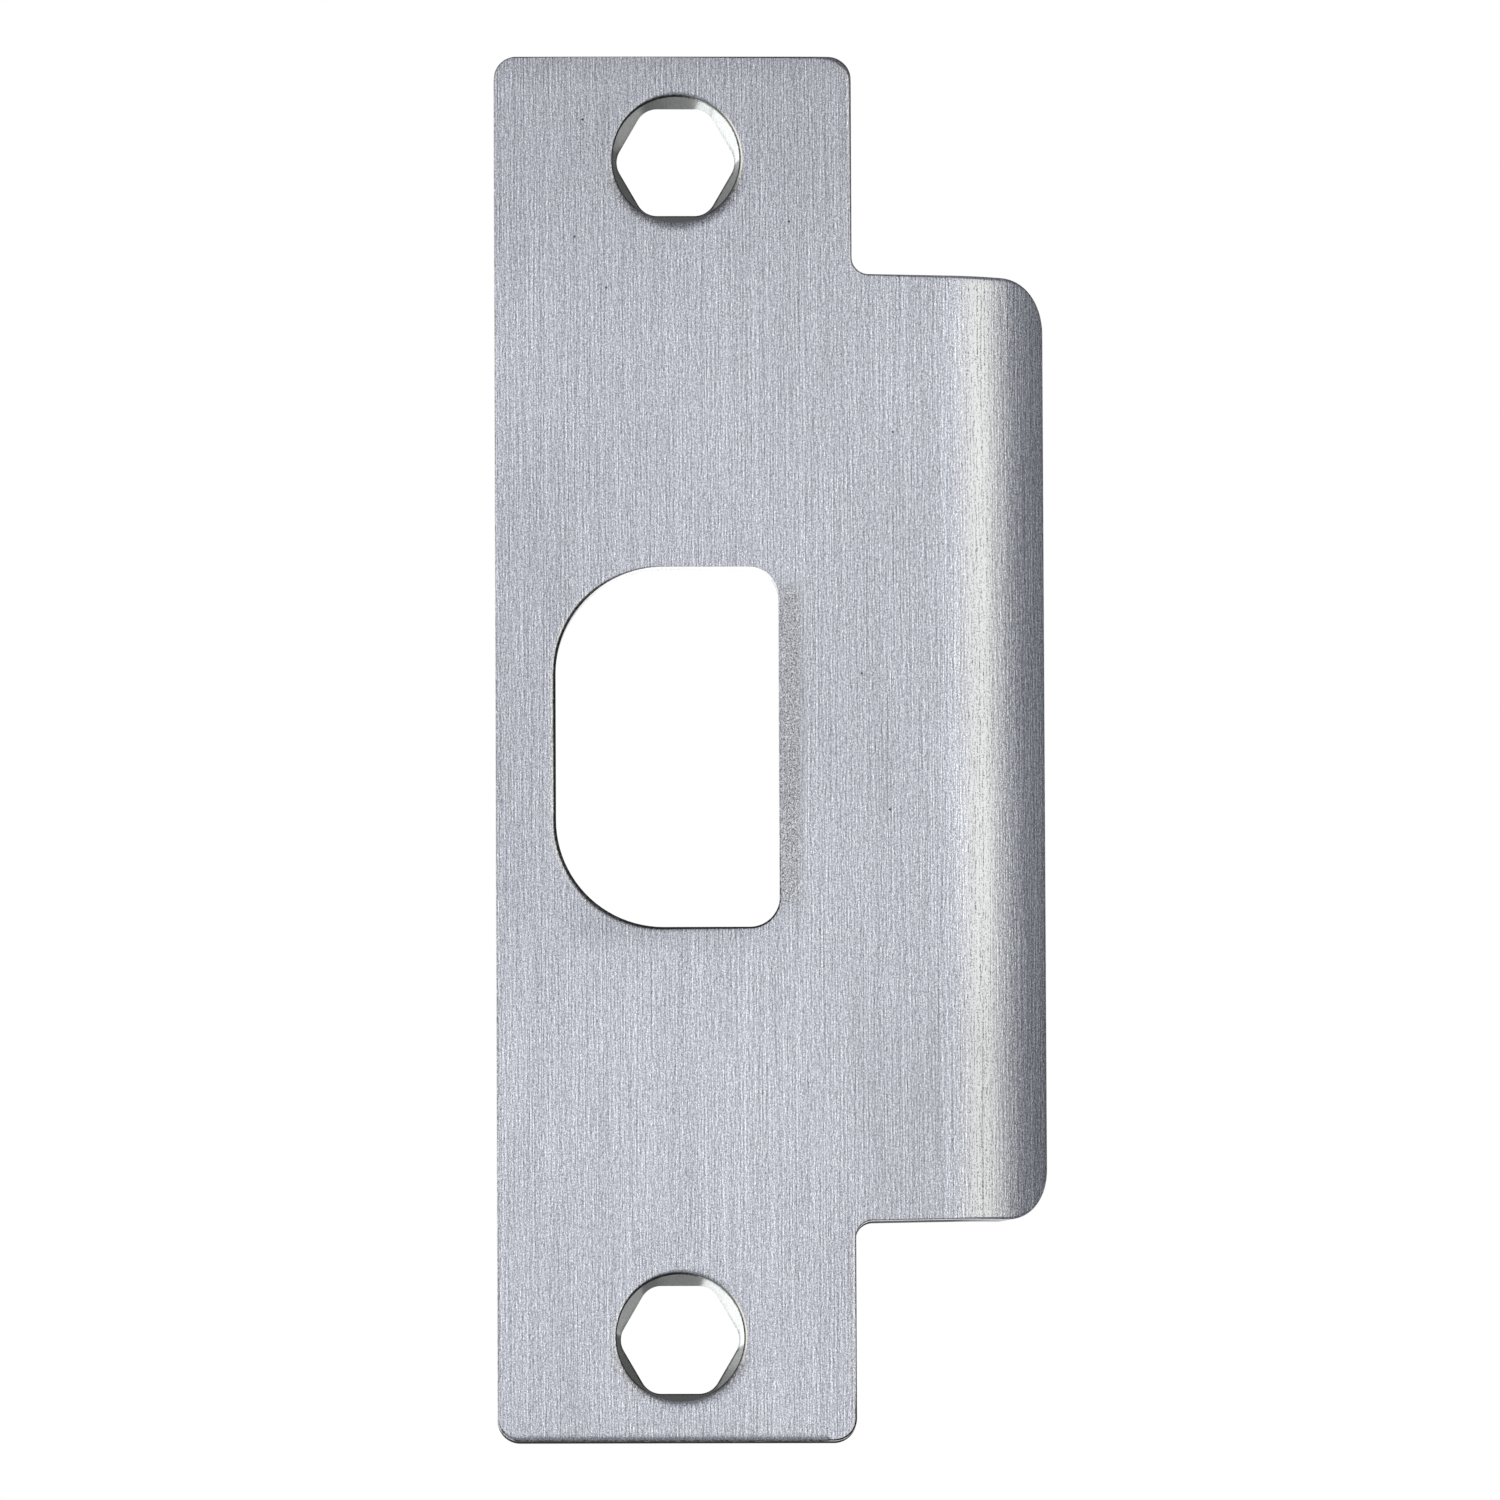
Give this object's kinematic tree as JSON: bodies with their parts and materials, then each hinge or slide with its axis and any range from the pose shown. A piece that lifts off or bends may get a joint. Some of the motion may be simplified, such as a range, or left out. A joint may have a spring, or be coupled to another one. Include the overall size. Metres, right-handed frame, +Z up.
{
  "type": "door strike plate",
  "caption": "Flat brushed steel door strike plate with a rounded latch opening, hexagonal countersunk screw holes and a tapered lip whose end curves back.",
  "frame": {"origin": "middle of the two screw holes, on the flat back face that lies on the door jamb", "axes": "+Z up along the plate's long side, +Y out of the back face into the jamb, +X across the plate towards the lip, so the face that the latch meets looks along -Y"},
  "size_m": [0.0486, 0.0053, 0.123],
  "materials": {
    "brushed_steel": "satin stainless steel, brushed along the long side, with bright sheared edges"
  },
  "bodies": {
    "root": {"strike_plate": "brushed_steel"}
  },
  "joints": []
}
